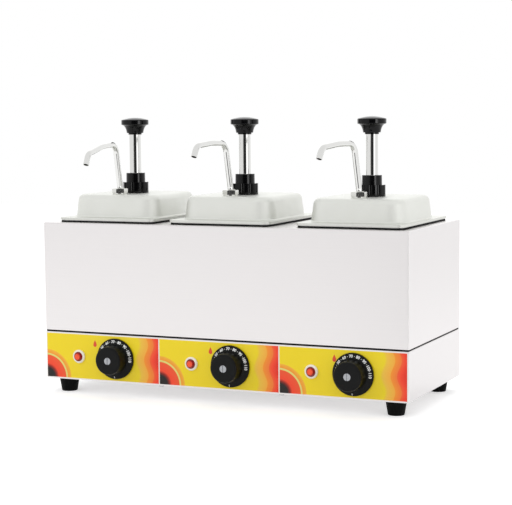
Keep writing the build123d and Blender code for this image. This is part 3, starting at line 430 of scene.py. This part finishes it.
def seals():
    # dark strips put in the cabinet's seam and at the foot of the pans' rims as painted shade: the real
    # gaps there are only shadowed, with no seal in them
    values = {"seamSetBack": 0.9 * mm, "seamCorner": 2 * mm, "rimCorner": 9 * mm, "rimProud": 0.7 * mm,
              "rimHeight": 2.3 * mm, "thickness": 0.6 * mm, "gap": 0.1 * mm}
    # matt black strips that stand for the shade in those gaps
    rubber = plastic("black strip of painted shade", "060606", 0.6, grain=700, spread=0.05, gloss=0.1)
    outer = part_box("base_casing")
    setBack = Vector((values["seamSetBack"], values["seamSetBack"], 0))
    under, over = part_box("base_casing")[1].z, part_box("upper_casing")[0].z
    low = Vector((outer[0].x, outer[0].y, under + values["gap"])) + setBack
    high = Vector((outer[1].x, outer[1].y, over - values["gap"])) - setBack
    band("seamShadeStrip", low, high, values["seamCorner"], values["thickness"], rubber, "housing")
    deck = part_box("upper_casing")[1].z
    for n in units:
        low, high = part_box(f"pan_{n}")
        proud = Vector((values["rimProud"], values["rimProud"], 0))
        low = Vector((low.x, low.y, deck + values["gap"])) - proud
        high = Vector((high.x, high.y, deck + values["rimHeight"])) + proud
        band(f"rimShadeStrip_{n}", low, high, values["rimCorner"], values["thickness"], rubber,
             f"pan_unit_{n}")


seals()
print("seals done")


def plungerTube(n):
    # a finely divided tube, so that the line it mirrors runs straight
    low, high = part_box(f"plunger_tube_{n}")
    tube = bmesh.new()
    radius = (high.x - low.x) / 2
    bmesh.ops.create_cone(tube, cap_ends=True, segments=128, radius1=radius, radius2=radius,
                          depth=high.z - low.z)
    bmesh.ops.translate(tube, vec=(low + high) / 2, verts=tube.verts)
    tube.normal_update()
    for face in tube.faces:
        face.smooth = abs(face.normal.z) < 0.5
    for edge in tube.edges:
        edge.smooth = all(face.smooth for face in edge.link_faces)
    mesh = bpy.data.meshes.new(f"plungerTube_{n}")
    tube.to_mesh(mesh)
    tube.free()
    piece = addPiece(f"plungerTube_{n}", mesh, polished, f"plunger_{n}")
    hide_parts(f"plunger_tube_{n}")


def pumpSpring(n):
    # the return spring, a welded copy of the part's mesh shaded smooth; in the pump the plunger presses
    # it together towards its foot, which is not modelled here
    values = {"stroke": 56 * mm, "weld": 0.001 * mm}
    node = cad[f"pump_spring_{n}"]
    coil = bmesh.new()
    coil.from_mesh(node.data)
    bmesh.ops.transform(coil, matrix=node.matrix_world, verts=coil.verts)
    bmesh.ops.remove_doubles(coil, verts=coil.verts, dist=values["weld"])
    for face in coil.faces:
        face.smooth = True
    mesh = bpy.data.meshes.new(f"pumpSpring_{n}")
    coil.to_mesh(mesh)
    coil.free()
    piece = addPiece(f"pumpSpring_{n}", mesh, springSteel, f"lid_unit_{n}")
    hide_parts(f"pump_spring_{n}")
    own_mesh(piece)


def rounded(corners, radii, step):
    # the points of a line with an arc at each inner corner, about a step apart on the arcs
    points = [corners[0]]
    for before, corner, after, radius in zip(corners, corners[1:], corners[2:], radii):
        back, on = (before - corner).normalized(), (after - corner).normalized()
        half = back.angle(on) / 2
        centre = corner + (back + on).normalized() * radius / sin(half)
        start = corner + back * radius / tan(half)
        count = max(3, round((pi - 2 * half) * radius / step))
        axis = (start - centre).cross(corner - centre).normalized()
        points += [centre + Matrix.Rotation((pi - 2 * half) * i / count, 3, axis) @ (start - centre)
                   for i in range(count + 1)]
    return points + [corners[-1]]


def spout(n):
    # a bent tube: upright foot, leaning riser, an arm that arches a little, and the outlet; its line is
    # in millimetres, and a bracket of three holds a value for each unit
    values = {"turn": (-2, 7.5, 12.5), "reach": (101.5, 90, 95), "fall": (8.6, 2, 3),
              "rise": (78.2, 79.6, 79.2), "arch": (3.5, 2.2, 2.2),
              "foot": 3.3, "straight": 13, "lean": 11.5, "outletAngle": 64, "outlet": 17.5,
              "bends": (25, 17, 110, 13), "step": 0.8, "radius": 4.5 * mm, "wall": 1 * mm, "crease": 50}
    low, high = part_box(f"spout_nut_{n}")
    seat = Vector(((low.x + high.x) / 2, (low.y + high.y) / 2, low.z))
    turn, fall = (radians(values[k][n - 1]) for k in ("turn", "fall"))
    reach, rise, arch = (values[k][n - 1] for k in ("reach", "rise", "arch"))
    out = (rise - values["straight"]) * tan(radians(values["lean"]))
    drop = (reach - out) * tan(fall)
    tip = radians(values["outletAngle"])
    flat = [(0, values["foot"]), (0, values["straight"]), (out, rise),
            ((out + reach) / 2, rise - drop / 2 + arch), (reach, rise - drop),
            (reach + values["outlet"] * cos(tip), rise - drop - values["outlet"] * sin(tip))]
    arm = Vector((-sin(turn), -cos(turn), 0))
    corners = [arm * along + Vector((0, 0, up)) for along, up in flat]
    line = rounded(corners, values["bends"], values["step"])
    curve = bpy.data.curves.new("spoutLine", "CURVE")
    curve.dimensions = "3D"
    curve.bevel_depth = values["radius"]
    curve.bevel_resolution = 10
    spline = curve.splines.new("POLY")
    spline.points.add(len(line) - 1)
    for point, place in zip(spline.points, line):
        point.co = (*(seat + place * mm), 1)
    mesh = meshOf(curve)
    tube = bmesh.new()
    tube.from_mesh(mesh)
    bmesh.ops.recalc_face_normals(tube, faces=tube.faces)
    bmesh.ops.solidify(tube, geom=tube.faces[:], thickness=values["wall"])
    bmesh.ops.recalc_face_normals(tube, faces=tube.faces)
    for face in tube.faces:
        face.smooth = True
    for edge in tube.edges:
        edge.smooth = edge.calc_face_angle(0) < radians(values["crease"])
    tube.to_mesh(mesh)
    tube.free()
    piece = addPiece(f"spoutTube_{n}", mesh, polished, f"spout_unit_{n}")
    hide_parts(f"spout_{n}")


for n in units:
    plungerTube(n)
    pumpSpring(n)
    spout(n)
print("plunger tubes, springs and spouts done")


def studio():
    # floorSeen lifts the floor to white for the eye, floorMirrored for metal; the near and far patches
    # of the floor darken or glow in mirrors only; spans and blurs of bearings are in degrees
    values = {"floorSize": 8, "floorAlbedo": 0.82, "floorSeen": 0.42, "floorMirrored": 0.3,
              "ambient": 0.9, "room": 1.0, "back": 0.12, "backLeft": 0.35, "glow": 0.8, "dark": 0.97,
              "glowSpan": (52, 78), "bandSpan": (-2, 50), "bandTop": 0.05, "bandBlur": 0.03,
              "floorBlur": {"glow": 8, "band": 6}, "skyBlur": {"glow": 10, "band": 8},
              "near": {"x": (0.1, 0.58), "y": (-0.93, -0.71), "blurX": 0.06, "blurY": 0.04, "dark": 0.9},
              "far": {"from": 2.0, "to": 2.4, "glow": 3}, "behindFade": (0.3, 0.9),
              "leftFade": (0.2, -0.3)}

    def within(tree, amount, span, blur):  # 1 inside a range, 0 outside, with soft ends
        start, end = span
        off = maths(tree, "SUBTRACT", amount, (start + end) / 2)
        off = maths(tree, "ABSOLUTE", off)
        half = (end - start) / 2
        return mapRange(tree, off, half + blur / 2, half - blur / 2)

    def towards(tree, way, span, blur):  # the same for a bearing, from the front towards the right
        ahead = maths(tree, "MULTIPLY", way["Y"], -1)
        bearing = maths(tree, "ARCTAN2", way["X"], ahead)
        return within(tree, bearing, [radians(angle) for angle in span], radians(blur))

    def product(tree, *factors):
        result = factors[0]
        for factor in factors[1:]:
            result = maths(tree, "MULTIPLY", result, factor)
        return result

    def mirrorRay(tree):
        seen = addNode(tree, "LightPath").outputs
        return seen, maths(tree, "MAXIMUM", seen["Is Glossy Ray"], seen["Is Transmission Ray"])

    bpy.ops.mesh.primitive_plane_add(size=values["floorSize"])
    floor = bpy.context.object
    floor.name = "studioFloor"
    material = bpy.data.materials.new("pale paper floor")
    material.use_nodes = True
    tree = material.node_tree
    tree.nodes.clear()
    seen, mirrored = mirrorRay(tree)
    place = addNode(tree, "TexCoord").outputs["Object"]
    spot = addNode(tree, "SeparateXYZ", {0: place}).outputs
    reach = addNode(tree, "VectorMath", {0: place}, operation="LENGTH").outputs["Value"]
    far = mapRange(tree, reach, values["far"]["from"], values["far"]["to"])
    inGlow = towards(tree, spot, values["glowSpan"], values["floorBlur"]["glow"])
    inBand = towards(tree, spot, values["bandSpan"], values["floorBlur"]["band"])
    inNearX = within(tree, spot["X"], values["near"]["x"], values["near"]["blurX"])
    inNearY = within(tree, spot["Y"], values["near"]["y"], values["near"]["blurY"])
    farGlow = product(tree, inGlow, far, mirrored, values["far"]["glow"])
    farDark = product(tree, inBand, far, values["dark"])
    nearDark = product(tree, inNearX, inNearY, values["near"]["dark"])
    patch = product(tree, maths(tree, "MAXIMUM", farDark, nearDark), mirrored)
    tone = mapRange(tree, patch, 0, 1, values["floorAlbedo"], 0)
    toEye = product(tree, seen["Is Camera Ray"], values["floorSeen"])
    toMirror = product(tree, mirrored, maths(tree, "SUBTRACT", 1, patch))
    glow = maths(tree, "MULTIPLY_ADD", toMirror, values["floorMirrored"], toEye)
    glow = maths(tree, "ADD", glow, farGlow)
    paper = addNode(tree, "BsdfDiffuse", {"Color": tone}).outputs[0]
    glowing = addNode(tree, "Emission", {"Color": grey(1), "Strength": glow}).outputs[0]
    lit = addNode(tree, "AddShader", {0: paper, 1: glowing}).outputs[0]
    addNode(tree, "OutputMaterial", {"Surface": lit})
    floor.data.materials.append(material)

    # world: an even ambience for matt surfaces, white to the eye, and a room in the mirrors: bright
    # behind on the left, a glow at the front right and a dark gap beside it, which draws the line
    # down each polished tube
    world = bpy.data.worlds.new("studio")
    bpy.context.scene.world = world
    world.use_nodes = True
    tree = world.node_tree
    tree.nodes.clear()
    seen, mirrored = mirrorRay(tree)
    way = addNode(tree, "SeparateXYZ", {0: addNode(tree, "TexCoord").outputs["Generated"]}).outputs
    behind = mapRange(tree, way["Y"], *values["behindFade"])
    leftward = mapRange(tree, way["X"], *values["leftFade"])
    low = mapRange(tree, way["Z"], values["bandTop"] + values["bandBlur"],
                   values["bandTop"] - values["bandBlur"])
    inGlow = towards(tree, way, values["glowSpan"], values["skyBlur"]["glow"])
    inBand = towards(tree, way, values["bandSpan"], values["skyBlur"]["band"])
    glow = product(tree, inGlow, low, values["glow"])
    light = maths(tree, "MULTIPLY_ADD", product(tree, behind, leftward), values["backLeft"], glow)
    light = maths(tree, "MULTIPLY_ADD", behind, values["back"], light)
    light = maths(tree, "ADD", light, values["room"])
    light = product(tree, light, maths(tree, "SUBTRACT", 1, product(tree, inBand, low, values["dark"])))

    def sky(strength):
        return addNode(tree, "Background", {"Color": grey(1), "Strength": strength}).outputs[0]

    soft, inMirror, white = sky(values["ambient"]), sky(light), sky(1)
    mixed = addNode(tree, "MixShader", {0: mirrored, 1: soft, 2: inMirror}).outputs[0]
    mixed = addNode(tree, "MixShader", {0: seen["Is Camera Ray"], 1: mixed, 2: white}).outputs[0]
    addNode(tree, "OutputWorld", {"Surface": mixed})

    def softbox(name, place, target, size, power):
        light = bpy.data.lights.new(name, "AREA")
        light.shape = "RECTANGLE"
        light.size, light.size_y = size
        light.energy = power
        lamp = bpy.data.objects.new(name, light)
        lamp.location = place
        lamp.rotation_euler = (Vector(target) - Vector(place)).to_track_quat("-Z", "Y").to_euler()
        lamp.visible_camera = False
        bpy.context.scene.collection.objects.link(lamp)
        return lamp

    topLight = softbox("topLight", place=(-0.2, 0.6, 1.9), target=(0, 0, 0.1), size=(1.4, 1.0), power=10)
    leftLight = softbox("leftLight", place=(-1.6, -1.5, 1.2), target=(0, 0, 0.2), size=(0.8, 1.2),
                        power=6)
    stripLight = softbox("stripLight", place=(1.39, -0.8, 0.45), target=(0, 0, 0.35), size=(0.42, 0.9),
                         power=5)
    topLight.visible_glossy = leftLight.visible_glossy = False
    glossy = bpy.data.collections.new("glossy pieces")  # the strip shows in the pumps' black parts only
    for name in perUnit("pump_knob", "guide_bush", "lock_collar"):
        glossy.objects.link(cad[name])
    stripLight.light_linking.receiver_collection = glossy


studio()


def photoCamera():
    # turn, tilt, roll and place worked out for a 512 x 505 frame
    # the place is measured from the near left corner of the base casing
    values = {"turn": 24.0037, "tilt": 5.2721, "roll": -0.4984, "focal": 1533.14, "frameWidth": 512,
              "sensor": 36, "aside": 1.2564, "ahead": 2.0180, "above": 0.4080}
    camera = bpy.data.cameras.new("camera")
    camera.sensor_fit = "HORIZONTAL"
    camera.sensor_width = values["sensor"]
    camera.lens = values["focal"] / values["frameWidth"] * values["sensor"]
    camera.clip_end = 50
    holder = bpy.data.objects.new("camera", camera)
    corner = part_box("base_casing")[0]
    place = Vector((corner.x + values["aside"], corner.y - values["ahead"], corner.z + values["above"]))
    turn, tilt, roll = (radians(values[k]) for k in ("turn", "tilt", "roll"))
    ahead = Vector((-sin(turn) * cos(tilt), cos(turn) * cos(tilt), -sin(tilt)))
    right = Vector((cos(turn), sin(turn), 0))
    up = right.cross(ahead)
    tilted = right * cos(roll) + up * sin(roll)
    top = up * cos(roll) - right * sin(roll)
    holder.matrix_world = Matrix((
        (tilted.x, top.x, -ahead.x, place.x),
        (tilted.y, top.y, -ahead.y, place.y),
        (tilted.z, top.z, -ahead.z, place.z),
        (0, 0, 0, 1)))
    bpy.context.scene.collection.objects.link(holder)
    bpy.context.scene.camera = holder
    bpy.context.scene.view_settings.view_transform = "Standard"


photoCamera()
print("studio and camera done")
